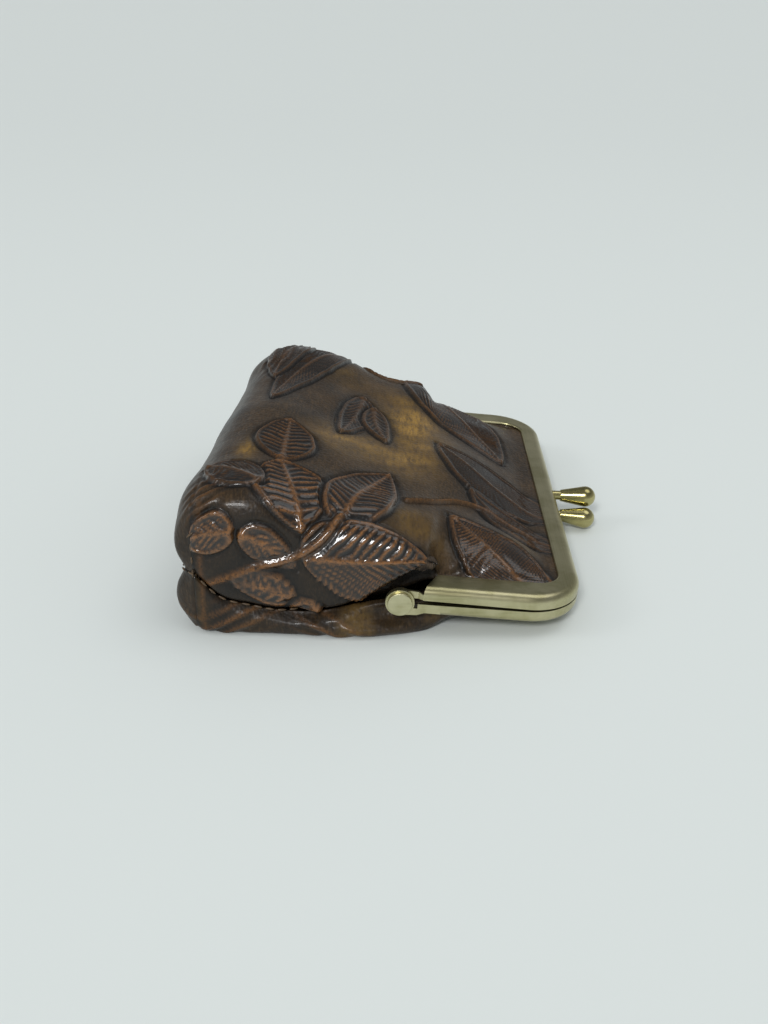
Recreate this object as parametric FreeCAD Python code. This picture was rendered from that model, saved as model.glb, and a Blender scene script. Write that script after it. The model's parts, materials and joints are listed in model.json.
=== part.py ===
"""Leather coin purse on a kiss-lock frame, lying on its back. Millimetres, +Z up.

The purse is built about its hinge axis: x runs from the hinge axis to the top bar of the frame
(negative towards the base of the pouch), y runs along the hinge axis and z is the height above
the surface that the purse lies on. At the end everything is slid along x, so that the origin
lies under the middle of the purse.

The frame is two rolled brass channels. Each grips the edge of one leather panel and its lining,
which a paper cord wedges in the channel. The front panel is one piece of leather. It is cut here
into the pouch, which stays with the back half, the mouth, which opens with the front half, and
the fold between them, which creases as the purse opens. Its lining is cut in the same places.
"""
import FreeCAD, Part
import math
import os

from FreeCAD import Vector

# ---- frame -------------------------------------------------------------------------------
FRAME_WIDTH = 105.0        # across the outside of the two arms
FRAME_REACH = 39.6         # hinge axis to the outside of the top bar
FRAME_CORNER = 12.4        # outside radius of the two corners, in plan
ARM_BAND = 7.0             # width of the channel along an arm, in plan
BAR_BAND = 4.9             # width of the channel along the top bar, in plan
INNER_CORNER = 5.0         # radius of the corners of the frame's opening
HALF_HEIGHT = 3.35         # parting plane to the crown of one half
SHEET = 0.6                # thickness of the brass
CROWN_ROUND = 1.9          # outer top edge of the channel
LIP_ROUND = 0.5            # inner top edge of the channel
ARM_GAP = 0.95             # gap between the closed halves at the shoulders
BAR_GAP = 0.3              # gap between the closed halves at the top bar
PARTING_RISE = 0.55        # parting plane above the hinge axis
SHOULDER = 8.0             # hinge axis to the inner end of the channel
SHOULDER_SLANT = 3.2       # how much further the outer end of the channel reaches back
NOSE_DOWN = 5.2            # degrees that the closed frame leans down towards its bar
HINGE_HEIGHT = 9.0         # hinge axis above the surface

# ---- hinge -------------------------------------------------------------------------------
EAR_RADIUS = 3.1
STRAP_TOP = 2.6            # top edge of the strap between shoulder and ear, above the axis
STRAP_OVERLAP = 4.0        # length of the strap inside the channel's wall
LAYER_GAP = 0.15           # between the outer ear and the inner ear
JOGGLE_START = 3.8         # where the front strap starts to step outwards, from the axis
JOGGLE_END = 5.3
RIVET_SHANK = 1.2          # radius
RIVET_HEAD = 2.65          # radius of the outer head
RIVET_HEAD_THICKNESS = 0.8
RIVET_TAIL = 1.9           # radius of the peened inner head
RIVET_TAIL_THICKNESS = 0.5
RIVET_EDGE = 0.2           # rounding of the outer head
RUNNING_CLEARANCE = 0.06   # radial, between the shank and the front ear
TIGHT_CLEARANCE = 0.03     # radial, between a pin and the plate that holds it
END_PLAY = 0.1             # between the front ear and the peened head

# ---- clasp -------------------------------------------------------------------------------
CLASP_OFFSET = 1.3         # middle of the clasp from the middle of the bar
CLASP_SPREAD = 3.2         # between the two knobs, along the bar
KNOB_BALL = 2.6            # radius
KNOB_LENGTH = 7.7          # outside of the bar to the centre of the ball
KNOB_STEM = 1.15           # radius
KNOB_STEM_LENGTH = 1.5     # bare stem between the bar and the knob
KNOB_NECK = 1.45           # radius of the knob where it starts
KNOB_LEAN = 2.2            # degrees that each knob leans away from the other
KNOB_TAIL = 0.3            # stem left standing inside the channel

# ---- leather and lining --------------------------------------------------------------------
LEATHER = 1.2              # thickness of a panel
LINING = 0.4               # thickness of the lining
RIM_LEATHER = 1.0          # thickness of the edge that the channel grips
RIM_LINING = 0.25
LAYER_CLEARANCE = 0.2      # between leather and lining
CHANNEL_CLEARANCE = 0.15   # between the gripped edge and the channel's top flange
LEATHER_CLEARANCE = 0.4    # between a panel and the edge of the frame's opening
HINGE_CLEARANCE = 0.35     # between the pouch and the peened heads
POUCH_DEPTH = 46.5         # hinge axis to the base of the pouch
BASE_THICKNESS = 33.0      # height of the pouch near its base
CREST_SETBACK = 12.0       # base to the highest line of the front panel
BELLY = 12.0               # hinge axis to where the back panel leaves the surface
TOP_ROUND = 7.0            # roundness of the pouch's long upper edges
BOTTOM_ROUND = 3.0
BASE_ROUND = 3.0           # roundness of the base's edges
BASE_SEAM_HEIGHT = 15.0
BASE_DROP = 6.6            # how far the upper edge of the base face lies below the top
BASE_SLOPE_DROP = 2.1      # the same, where the rounding of the base ends
BASE_SLOPE = 7.5           # base to where the front panel has its full height
SIDE_SEAM_LOW = 5.6        # lowest point of the side seam
SIDE_SEAM_TURN = 4.5       # base to where the side seam turns along the side
PANEL_FALL = 1.3           # how late the front panel falls towards the bar: 1 is straight
MOUTH_START = 4.0          # hinge axis to the edge of the mouth panel
POUCH_END = -9.5           # hinge axis to the edge of the front pouch panel
FOLD_CLEARANCE = 0.2
GUSSET_END = 4.2           # hinge axis to where the pouch narrows into the frame

# ---- seams, cords ----------------------------------------------------------------------------
SEAM_GAP = 0.6             # between the front and the back panel, where they are sewn
THREAD = 0.5               # thickness of the sewing thread
THREAD_CLEARANCE = 0.05
CORNER_SEAM_SETBACK = 2.2  # base to the upright seam of each boxed corner
CORNER_SEAM = (5.0, 25.0)  # lower and upper end
RIM_SETBACK = 2.7          # outside of the frame to the gripped edge of the leather
CORD_SETBACK = 1.7         # outside of the frame to the middle of the paper cord
CORD_RADIUS = 0.5
CORD_START = 9.5           # hinge axis to the ends of the paper cord

# ---- what follows from them ---------------------------------------------------------------
HALF_WIDTH = FRAME_WIDTH / 2
OPENING_HALF = HALF_WIDTH - ARM_BAND
OPENING_REACH = FRAME_REACH - BAR_BAND
INNER_EAR_OUTSIDE = HALF_WIDTH - SHEET - LAYER_GAP
INNER_EAR_INSIDE = INNER_EAR_OUTSIDE - SHEET
RIVET_INSIDE = INNER_EAR_INSIDE - END_PLAY - RIVET_TAIL_THICKNESS
POUCH_HALF = RIVET_INSIDE - HINGE_CLEARANCE
MOUTH_HALF = OPENING_HALF - LEATHER_CLEARANCE
MOUTH_REACH = OPENING_REACH - LEATHER_CLEARANCE
CHANNEL_FLOOR = ARM_GAP / 2 + SHEET
CHANNEL_ROOF = HALF_HEIGHT - SHEET
RIM_TOP = CHANNEL_ROOF - CHANNEL_CLEARANCE
RIM_LOW = RIM_TOP - RIM_LEATHER
LINING_TOP = RIM_LOW - LAYER_CLEARANCE
LINING_LOW = LINING_TOP - RIM_LINING
FAR = 200.0                # larger than the purse, for cutting tools
LOFT_STEPS = 4             # spans of a panel's loft along its plain stretch
LOW_SHARE = 0.6            # most that the lower rounding takes of half the mouth's height
HIGH_SHARE = 0.8           # the same for the upper rounding
SINK = 0.3                 # how far a body starts below the surface before it is cut flat


# ---- outlines -------------------------------------------------------------------------------
def line(a, b):
    return Part.LineSegment(a, b).toShape()


def arc(a, middle, b):
    return Part.Arc(a, middle, b).toShape()


def closed_face(edges):
    return Part.Face(Part.Wire(Part.__sortEdges__(edges)))


def box(low, high):
    size = [b - a for a, b in zip(low, high)]
    return Part.makeBox(size[0], size[1], size[2], Vector(*low))


def rod(start, axis, length, radius):
    return Part.makeCylinder(radius, length, start, axis)


def u_edges(setback, half_width, reach, radius, start):
    """A path along one arm, round the bar and back along the other arm, set in by setback."""
    w, r, c = half_width - setback, reach - setback, radius - setback
    cut = c * (1 - math.sqrt(0.5))
    arm = [Vector(start, -w, 0), Vector(r - c, -w, 0)]
    bar = [Vector(r, -w + c, 0), Vector(r, w - c, 0)]
    back = [Vector(r - c, w, 0), Vector(start, w, 0)]
    return [line(*arm), arc(arm[1], Vector(r - cut, -w + cut, 0), bar[0]), line(*bar),
            arc(bar[1], Vector(r - cut, w - cut, 0), back[0]), line(*back)]


def outer_path(setback, start):
    return u_edges(setback, HALF_WIDTH, FRAME_REACH, FRAME_CORNER, start)


def inner_path(setback, start):
    return u_edges(setback, OPENING_HALF, OPENING_REACH, INNER_CORNER, start)


def u_face(outside, inside):
    """The flat region between two such paths."""
    ends = [(outside[0].Vertexes[0].Point, inside[0].Vertexes[0].Point),
            (outside[-1].Vertexes[-1].Point, inside[-1].Vertexes[-1].Point)]
    return closed_face(outside + inside + [line(a, b) for a, b in ends])


def edges_on(solid, path, height):
    """The edges of a solid that lie on a path lifted to a height."""
    guide = Part.Wire(path).copy()
    guide.translate(Vector(0, 0, height))
    found = []
    for edge in solid.Edges:
        middle = edge.valueAt((edge.FirstParameter + edge.LastParameter) / 2)
        flat = all(abs(v.Z - height) < 1e-6 for v in edge.Vertexes)
        if flat and guide.distToShape(Part.Vertex(middle))[0] < 1e-6:
            found.append(edge)
    return found


def rolled(path, face, low, high, rounding):
    """A plate over face from low to high, whose upper edge along path is rounded."""
    plate = face.extrude(Vector(0, 0, high - low))
    plate.translate(Vector(0, 0, low))
    return plate.makeFillet(rounding, edges_on(plate, path, high))


# ---- frame ----------------------------------------------------------------------------------
def parting_wedge():
    """What lies below the parting face of a half, which comes closer to the other at the bar."""
    a, b = Vector(SHOULDER, 0, ARM_GAP / 2), Vector(FRAME_REACH, 0, BAR_GAP / 2)
    slope = (b - a) * (1 / (b.x - a.x))
    first, last = a - slope * (SHOULDER + FAR), b + slope * FAR
    corners = [first, last, Vector(last.x, 0, -FAR), Vector(first.x, 0, -FAR), first]
    wedge = Part.Face(Part.makePolygon(corners)).extrude(Vector(0, 2 * FAR, 0))
    wedge.translate(Vector(0, -FAR, 0))
    return wedge


def channel():
    """The rolled channel of one half, above the parting plane, without its straps."""
    back = SHOULDER - SHOULDER_SLANT
    outside, inside = outer_path(0, back), inner_path(0, SHOULDER)
    band = rolled(outside, u_face(outside, inside), 0, HALF_HEIGHT, CROWN_ROUND)
    band = band.makeFillet(LIP_ROUND, edges_on(band, inside, HALF_HEIGHT))
    wall, mouth = outer_path(SHEET, back - SHEET), inner_path(SHEET * 2, back - SHEET)
    groove = rolled(wall, u_face(wall, mouth), CHANNEL_FLOOR, CHANNEL_ROOF, CROWN_ROUND - SHEET)
    return band.cut(groove).cut(parting_wedge())


def side_outline():
    """Ear and strap of one half seen along the hinge axis, as a thick slab, z from the axis."""
    low = PARTING_RISE + ARM_GAP / 2
    end = SHOULDER - SHOULDER_SLANT + STRAP_OVERLAP
    flat_top = PARTING_RISE + HALF_HEIGHT - CROWN_ROUND
    corners = [Vector(0, 0, low), Vector(end, 0, low), Vector(end, 0, flat_top),
               Vector(JOGGLE_END, 0, flat_top), Vector(JOGGLE_START, 0, STRAP_TOP),
               Vector(0, 0, STRAP_TOP + (EAR_RADIUS - STRAP_TOP) / 2), Vector(0, 0, low)]
    strap = Part.Face(Part.makePolygon(corners)).extrude(Vector(0, 2 * FAR, 0))
    strap.translate(Vector(0, -FAR, 0))
    ear = rod(Vector(0, -FAR, 0), Vector(0, 1, 0), 2 * FAR, EAR_RADIUS)
    return ear.fuse(strap)


def strap_plan(points, side):
    """The strap of one arm seen from above, as a thick slab."""
    corners = [Vector(x, side * y, -FAR) for x, y in points + points[:1]]
    return Part.Face(Part.makePolygon(corners)).extrude(Vector(0, 0, 2 * FAR))


def arms(points, shank_clearance):
    """Both straps of a half with their ears, bored for the rivets, z from the hinge axis."""
    bore = rod(Vector(0, -FAR, 0), Vector(0, 1, 0), 2 * FAR, RIVET_SHANK + shank_clearance)
    both = [side_outline().common(strap_plan(points, side)) for side in (-1, 1)]
    return both[0].fuse(both[1]).cut(bore)


def front_strap_points():
    end = SHOULDER - SHOULDER_SLANT + STRAP_OVERLAP
    outer, inner = HALF_WIDTH, INNER_EAR_OUTSIDE
    return [(end, outer), (JOGGLE_END, outer), (JOGGLE_START, inner), (-EAR_RADIUS, inner),
            (-EAR_RADIUS, inner - SHEET), (JOGGLE_START, inner - SHEET),
            (JOGGLE_END, outer - SHEET), (end, outer - SHEET)]


def back_strap_points():
    end = SHOULDER - SHOULDER_SLANT + STRAP_OVERLAP
    outer = HALF_WIDTH
    return [(end, outer), (-EAR_RADIUS, outer), (-EAR_RADIUS, outer - SHEET), (end, outer - SHEET)]


def knob_axis(sign):
    """Where a clasp knob leaves the bar and its direction. The sign is +1 for the front half."""
    height = PARTING_RISE + sign * (CHANNEL_FLOOR + CHANNEL_ROOF) / 2
    start = Vector(FRAME_REACH, CLASP_OFFSET + sign * CLASP_SPREAD / 2, height)
    lean = math.radians(KNOB_LEAN)
    return start, Vector(math.cos(lean), 0, sign * math.sin(lean))


def frame_half(sign):
    """One half of the frame, z from the hinge axis. The sign is +1 for the front half."""
    half = channel()
    if sign < 0:
        half = half.mirror(Vector(0, 0, 0), Vector(0, 0, 1))
    half.translate(Vector(0, 0, PARTING_RISE))
    if sign > 0:
        straps = arms(front_strap_points(), RUNNING_CLEARANCE)
    else:
        straps = arms(back_strap_points(), TIGHT_CLEARANCE)
        straps = straps.mirror(Vector(0, 0, 0), Vector(0, 0, 1))
        lift = box((JOGGLE_START, -FAR, -FAR), (FAR, FAR, PARTING_RISE - ARM_GAP / 2))
        fill = box((0, -HALF_WIDTH, -EAR_RADIUS / 2),
                   (SHOULDER, HALF_WIDTH, PARTING_RISE - ARM_GAP / 2))
        plans = [strap_plan(back_strap_points(), side) for side in (1, -1)]
        fill = fill.common(plans[0].fuse(plans[1]))
        bore = rod(Vector(0, -FAR, 0), Vector(0, 1, 0), 2 * FAR, RIVET_SHANK + TIGHT_CLEARANCE)
        straps = straps.fuse(fill.common(lift)).cut(bore)
    start, direction = knob_axis(sign)
    hole = rod(start - direction * SHEET * 3, direction, SHEET * 6, KNOB_STEM + TIGHT_CLEARANCE)
    return half.fuse(straps).cut(hole).removeSplitter()


def rivet(side):
    """Outer head, shank through both ears and the peened inner head."""
    out = Vector(0, side, 0)
    head = rod(out * HALF_WIDTH, out, RIVET_HEAD_THICKNESS, RIVET_HEAD)
    rim = [e for e in head.Edges if len(e.Vertexes) == 1
           and abs(abs(e.Vertexes[0].Y) - HALF_WIDTH - RIVET_HEAD_THICKNESS) < 1e-6]
    head = head.makeFillet(RIVET_EDGE, rim)
    shank = rod(out * RIVET_INSIDE, out, HALF_WIDTH - RIVET_INSIDE, RIVET_SHANK)
    tail = rod(out * RIVET_INSIDE, out, RIVET_TAIL_THICKNESS, RIVET_TAIL)
    return head.fuse([shank, tail]).removeSplitter()


def knob(sign):
    """A turned knob: stem through the bar, a neck that flares, and the ball."""
    x_ball, x_neck, r = KNOB_LENGTH, KNOB_STEM_LENGTH, KNOB_BALL
    slope = math.asin((r - KNOB_NECK) / (x_ball - x_neck))
    touch = Vector(x_ball - r * math.sin(slope), r * math.cos(slope), 0)
    inside = -SHEET - KNOB_TAIL
    outline = [line(Vector(inside, 0, 0), Vector(inside, KNOB_STEM, 0)),
               line(Vector(inside, KNOB_STEM, 0), Vector(x_neck, KNOB_STEM, 0)),
               line(Vector(x_neck, KNOB_STEM, 0), Vector(x_neck, KNOB_NECK, 0)),
               line(Vector(x_neck, KNOB_NECK, 0), touch),
               arc(touch, Vector(x_ball + r * math.sqrt(0.5), r * math.sqrt(0.5), 0),
                   Vector(x_ball + r, 0, 0)),
               line(Vector(x_ball + r, 0, 0), Vector(inside, 0, 0))]
    turned = closed_face(outline).revolve(Vector(0, 0, 0), Vector(1, 0, 0), 360)
    start, direction = knob_axis(sign)
    turned.rotate(Vector(0, 0, 0), Vector(0, -1, 0), math.degrees(math.asin(direction.z)))
    turned.translate(start)
    return turned


def lean(shape):
    """Takes a shape from the frame's own axes to the closed purse."""
    leaned = shape.copy()
    leaned.rotate(Vector(0, 0, 0), Vector(0, 1, 0), NOSE_DOWN)
    leaned.translate(Vector(0, 0, HINGE_HEIGHT))
    return leaned


def parting_height(x):
    """Height of the parting plane of the closed frame above the surface."""
    tilt = math.radians(NOSE_DOWN)
    return HINGE_HEIGHT + PARTING_RISE / math.cos(tilt) - x * math.tan(tilt)


# ---- leather --------------------------------------------------------------------------------
def top_height(x):
    """Height of the front panel, which falls from its crest near the base to the bar."""
    crest = CREST_SETBACK - POUCH_DEPTH
    end = parting_height(MOUTH_REACH) + RIM_TOP
    share = min(max((x - crest) / (MOUTH_REACH - crest), 0), 1)
    return BASE_THICKNESS + (end - BASE_THICKNESS) * share ** PANEL_FALL


def bottom_height(x):
    """Height of the back panel, which lies flat and rises to the bar."""
    end = parting_height(MOUTH_REACH) - RIM_TOP
    share = min(max((x - BELLY) / (MOUTH_REACH - BELLY), 0), 1)
    return end * share


def section(x, half_width, low, high, low_round, high_round):
    """A rounded upright outline across the purse at x."""
    def corner(y, z, radius, y_sign, z_sign):
        cut = radius * (1 - math.sqrt(0.5))
        along = Vector(x, y - y_sign * radius, z)
        middle = Vector(x, y - y_sign * cut, z - z_sign * cut)
        upright = Vector(x, y, z - z_sign * radius)
        return along, middle, upright
    a = corner(half_width, low, low_round, 1, -1)
    b = corner(half_width, high, high_round, 1, 1)
    c = corner(-half_width, high, high_round, -1, 1)
    d = corner(-half_width, low, low_round, -1, -1)
    return Part.Wire([arc(*a), line(a[2], b[2]), arc(b[2], b[1], b[0]), line(b[0], c[0]),
                      arc(*c), line(c[2], d[2]), arc(d[2], d[1], d[0]), line(d[0], a[0])])


def skin(sections, inset):
    """A body through the sections, set in at its sides, top and flat underside."""
    wires = []
    for x, half_width, low, high, low_round, high_round in sections:
        wires.append(section(x, half_width - inset, low + inset, high - inset,
                             low_round - inset / 2, high_round - inset / 2))
    body = Part.makeLoft(wires, True, True)
    return body.cut(box((-FAR, -FAR, -FAR), (FAR, FAR, inset)))


def pouch_body(inset):
    """The pouch from its base to the hinge."""
    base, end = -POUCH_DEPTH, GUSSET_END - inset
    rows = [(base + inset, POUCH_HALF - BASE_ROUND, BASE_ROUND, BASE_THICKNESS - BASE_DROP),
            (base + BASE_ROUND, POUCH_HALF, -SINK, BASE_THICKNESS - BASE_SLOPE_DROP),
            (base + BASE_SLOPE, POUCH_HALF, -SINK, BASE_THICKNESS)]
    crest, steps = base + CREST_SETBACK, LOFT_STEPS
    for step in range(steps + 1):
        x = crest + (end - crest) * step / steps
        rows.append((x, POUCH_HALF, -SINK, top_height(x)))
    return skin([row + (BOTTOM_ROUND, TOP_ROUND) for row in rows], inset)


def mouth_body(inset):
    """The part of the purse inside the frame, rounded in plan like the frame's opening."""
    corner, steps = INNER_CORNER - LEATHER_CLEARANCE - inset, LOFT_STEPS
    turn = MOUTH_REACH - inset - corner
    stations = [POUCH_END + (turn - POUCH_END) * step / steps for step in range(steps + 1)]
    stations += [turn + corner * math.sin(math.radians(angle)) for angle in (30, 60, 90)]
    rows = []
    for x in stations:
        past = max(x - turn, 0)
        half_width = MOUTH_HALF - corner + math.sqrt(max(corner ** 2 - past ** 2, 0))
        low = bottom_height(x) - (SINK if x < BELLY else 0)
        room = (top_height(x) - low) / 2 - inset
        rows.append((x, half_width, low, top_height(x),
                     min(BOTTOM_ROUND, room * LOW_SHARE + inset / 2),
                     min(TOP_ROUND, room * HIGH_SHARE + inset / 2)))
    return skin(rows, inset)


def seam_curve(shift):
    """The line where front and back panel meet, seen along the hinge axis, lifted by shift."""
    base = -POUCH_DEPTH
    drop, turn = BASE_SEAM_HEIGHT - SIDE_SEAM_LOW, base + SIDE_SEAM_TURN
    points = [(base + 1.0, BASE_SEAM_HEIGHT), (turn, SIDE_SEAM_LOW + 0.5 * drop),
              (turn + 8.0, SIDE_SEAM_LOW + 0.2 * drop), (base / 2 + 1.0, SIDE_SEAM_LOW),
              (base / 5, SIDE_SEAM_LOW + 0.4), (0.0, HINGE_HEIGHT - 1.0),
              (GUSSET_END, parting_height(GUSSET_END))]
    curve = Part.BSplineCurve()
    curve.interpolate([Vector(x, 0, z + shift) for x, z in points])
    start, end = Vector(-FAR, 0, points[0][1] + shift), Vector(FAR, 0, parting_height(FAR) + shift)
    return [line(start, curve.StartPoint), curve.toShape(), line(curve.EndPoint, end)]


def beside_seam(sign, gap):
    """All the space above the seam line, or below it, at a distance."""
    edges = seam_curve(sign * gap)
    start, end = edges[0].Vertexes[0].Point, edges[-1].Vertexes[-1].Point
    corners = [Vector(end.x, 0, sign * FAR), Vector(start.x, 0, sign * FAR)]
    edges += [line(end, corners[0]), line(corners[0], corners[1]), line(corners[1], start)]
    space = closed_face(edges).extrude(Vector(0, 2 * FAR, 0))
    space.translate(Vector(0, -FAR, 0))
    return space


def beyond_parting(sign, distance):
    """All the space further from the parting plane than distance, on one side of it."""
    low, high = sorted((PARTING_RISE + sign * distance, sign * FAR))
    return lean(box((-FAR, -FAR, low), (FAR, FAR, high)))


def slab(start, end):
    return box((start, -FAR, -FAR), (end, FAR, FAR))


def rim(sign, low, high, wall_inset):
    """The flat edge of a panel that the channel grips."""
    start = SHOULDER + SHEET
    outside, inside = outer_path(RIM_SETBACK, start), inner_path(wall_inset, start)
    plate = u_face(outside, inside).extrude(Vector(0, 0, high - low))
    plate.translate(Vector(0, 0, low))
    if sign < 0:
        plate = plate.mirror(Vector(0, 0, 0), Vector(0, 0, 1))
    plate.translate(Vector(0, 0, PARTING_RISE))
    return lean(plate)


def shells(outset, thickness, rim_range):
    """The layers of one material: pouch, fold, mouth and back, at a depth below the surface."""
    deep = outset + thickness
    pouch = pouch_body(outset).cut(pouch_body(deep))
    mouth = mouth_body(outset).cut(mouth_body(deep))
    grip = LEATHER_CLEARANCE + deep
    front = pouch.common(beside_seam(1, SEAM_GAP / 2)).common(slab(-FAR, POUCH_END))
    fold = pouch.common(beside_seam(1, SEAM_GAP / 2)).common(
        slab(POUCH_END + FOLD_CLEARANCE, MOUTH_START - FOLD_CLEARANCE))
    flap = mouth.common(beyond_parting(1, rim_range[0])).common(slab(MOUTH_START, FAR))
    flap = flap.fuse(rim(1, *rim_range, grip)).removeSplitter()
    under, shut = beside_seam(-1, SEAM_GAP / 2), beyond_parting(-1, rim_range[0])
    low_pouch = pouch.cut(mouth_body(deep)).common(under).common(slab(-FAR, GUSSET_END))
    low_mouth = mouth.common(slab(GUSSET_END - deep, FAR)).common(shut).cut(pouch_body(deep))
    back = low_pouch.fuse([low_mouth, rim(-1, *rim_range, grip)]).removeSplitter()
    return front, fold, flap, back


# ---- seams and cords --------------------------------------------------------------------------
def side_seam(side):
    """The thread of a side seam, in the gap between the panels."""
    above, below = seam_curve(THREAD / 2)[1], seam_curve(-THREAD / 2)[1]
    ends = [line(above.Vertexes[i].Point, below.Vertexes[i].Point) for i in (0, -1)]
    ribbon = closed_face([above, below] + ends).extrude(Vector(0, side * THREAD, 0))
    outside = POUCH_HALF - THREAD_CLEARANCE
    ribbon.translate(Vector(0, side * (outside - THREAD), 0))
    return ribbon.common(slab(CORNER_SEAM_SETBACK + 2 * BASE_ROUND - POUCH_DEPTH, POUCH_END))


def base_seam():
    """The thread of the seam along the base."""
    x, y = -POUCH_DEPTH + THREAD_CLEARANCE, POUCH_HALF - 2 * BASE_ROUND
    z = BASE_SEAM_HEIGHT
    return box((x, -y, z - THREAD / 2), (x + THREAD, y, z + THREAD / 2))


def corner_groove(side, room):
    """A short upright bar let into the leather where a corner of the base is boxed."""
    x, y = BASE_ROUND + CORNER_SEAM_SETBACK - POUCH_DEPTH, side * POUCH_HALF
    depth, half = THREAD + THREAD_CLEARANCE + room, THREAD / 2 + room
    inner, outer = y - side * depth, y - side * THREAD_CLEARANCE + side * room * 2
    low, high = sorted((inner, outer))
    return box((x - half, low, CORNER_SEAM[0] - room), (x + half, high, CORNER_SEAM[1] + room))


def corner_seams(side):
    """The thread of a boxed corner in two lengths, one on each panel."""
    thread = corner_groove(side, 0)
    return Part.makeCompound([thread.common(beside_seam(sign, SEAM_GAP / 2)) for sign in (1, -1)])


def paper_cord(sign):
    """The cord that wedges a panel's edge in its channel."""
    path = outer_path(CORD_SETBACK, CORD_START)
    ring = Part.Wire(Part.makeCircle(CORD_RADIUS, path[0].Vertexes[0].Point, Vector(1, 0, 0)))
    cord = Part.Wire(path).makePipeShell([ring], True, False)
    cord.translate(Vector(0, 0, PARTING_RISE + sign * (CHANNEL_FLOOR + CHANNEL_ROOF) / 2))
    return lean(cord)


# ---- the whole purse ----------------------------------------------------------------------------
def build():
    parts = {
        "frame_front": lean(frame_half(1)),
        "frame_back": lean(frame_half(-1)),
        "hinge_rivet_left": lean(rivet(-1)),
        "hinge_rivet_right": lean(rivet(1)),
        "clasp_knob_front": lean(knob(1)),
        "clasp_knob_back": lean(knob(-1)),
        "paper_cord_front": paper_cord(1),
        "paper_cord_back": paper_cord(-1),
        "side_seam_left": side_seam(-1),
        "side_seam_right": side_seam(1),
        "base_seam": base_seam(),
    }
    front, fold, flap, back = shells(0, LEATHER, (RIM_LOW, RIM_TOP))
    for side, name in ((-1, "left"), (1, "right")):
        groove = corner_groove(side, THREAD_CLEARANCE)
        parts["corner_seam_" + name] = corner_seams(side)
        front, back = front.cut(groove), back.cut(groove)
    parts.update(leather_front_pouch=front, leather_front_fold=fold,
                 leather_front_mouth=flap, leather_back=back)
    names = ("lining_front_pouch", "lining_front_fold", "lining_front_mouth", "lining_back")
    lining = shells(LEATHER + LAYER_CLEARANCE, LINING, (LINING_LOW, LINING_TOP))
    parts.update(zip(names, lining))
    return parts


def main():
    parts = build()
    whole = Part.makeCompound(list(parts.values())).optimalBoundingBox()
    hinge_x = -(whole.XMin + whole.XMax) / 2
    os.makedirs("parts", exist_ok=True)
    for name, shape in parts.items():
        shape.translate(Vector(hinge_x, 0, 0))
        shape.exportStep("parts/%s.step" % name)
        print(name, "solids", len(shape.Solids), "volume", round(shape.Volume, 1),
              "valid", shape.isValid())
    print("hinge axis at x = %.4f, z = %.4f" % (hinge_x, HINGE_HEIGHT))
    print("size", round(whole.XLength, 2), round(whole.YLength, 2), round(whole.ZLength, 2))


main()
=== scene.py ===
"""Embossed leather coin purse on a brass kiss-lock frame, dressed around its packed frame.

Tables and nets are in millimetres, settings and finished meshes in metres. x runs from the hinge
axis to the bar of the frame, y along the hinge axis, and z is the height above the floor.
"""
import json
import math

import bmesh
import bpy
import numpy as np
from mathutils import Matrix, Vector


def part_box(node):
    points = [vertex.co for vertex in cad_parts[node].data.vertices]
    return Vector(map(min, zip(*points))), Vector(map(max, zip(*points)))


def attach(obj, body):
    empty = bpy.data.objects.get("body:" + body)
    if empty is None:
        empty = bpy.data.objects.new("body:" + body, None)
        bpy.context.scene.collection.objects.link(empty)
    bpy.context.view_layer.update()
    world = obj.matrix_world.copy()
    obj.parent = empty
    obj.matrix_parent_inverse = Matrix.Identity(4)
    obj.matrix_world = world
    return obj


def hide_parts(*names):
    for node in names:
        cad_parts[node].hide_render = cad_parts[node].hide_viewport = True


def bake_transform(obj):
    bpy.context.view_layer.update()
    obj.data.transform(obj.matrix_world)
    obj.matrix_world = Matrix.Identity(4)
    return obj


bl_info = {
    "name": "Coin purse",
    "version": (1, 0, 0),
    "blender": (4, 5, 0),
    "location": "View3D > Sidebar > Purse",
    "description": "Builds the leather, lining, stitching and finishes of a kiss-lock coin purse",
    "category": "Add Mesh",
}

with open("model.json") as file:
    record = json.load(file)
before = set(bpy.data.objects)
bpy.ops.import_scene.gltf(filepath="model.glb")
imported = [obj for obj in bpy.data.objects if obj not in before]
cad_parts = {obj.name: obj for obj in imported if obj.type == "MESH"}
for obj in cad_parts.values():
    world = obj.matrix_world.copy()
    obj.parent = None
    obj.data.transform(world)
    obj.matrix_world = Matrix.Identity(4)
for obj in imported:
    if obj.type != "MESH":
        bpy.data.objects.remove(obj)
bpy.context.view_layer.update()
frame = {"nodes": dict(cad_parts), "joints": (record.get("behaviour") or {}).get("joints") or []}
MM = 0.001
HINGE_X = frame["joints"][0]["pos_m"][0] / MM
HINGE_Z = frame["joints"][0]["pos_m"][2] / MM
POUCH_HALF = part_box("leather_back")[1].y / MM         # half the width of the pouch
BASE_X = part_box("leather_back")[0].x / MM - HINGE_X   # base of the pouch
TOP_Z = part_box("leather_front_pouch")[1].z / MM       # crest of the front panel
FRAME_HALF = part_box("frame_back")[1].y / MM           # outside of the arms
BAR_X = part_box("frame_back")[1].x / MM - HINGE_X      # outside of the bar
NOSE_DOWN = math.radians(5.2)
PARTING_RISE = 0.55
LIP_HALF = FRAME_HALF - 7.0                           # inner edge of an arm
LIP_X = BAR_X - 4.9                                   # inner edge of the bar
LIP_CORNER = 5.0                                      # radius of the lip's corners
TUCK_RISE = 2.5                                       # gripped edge above the parting plane
CORNER_X = -44.0                                      # upright seams of the boxed corners
SIDE_COLUMNS = 4                                      # columns below the rounded edge, each side
GRIPPED = 1.9                                         # how far the frame grips the leather
GRIPPED_LINING = 0.3
LINING_SPACING = 1.1
MASKS = ("ridge", "dark", "leaf", "gold")
FRONT_SEED, BACK_SEED, SCATTER_SEED = 11, 23, 5


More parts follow.
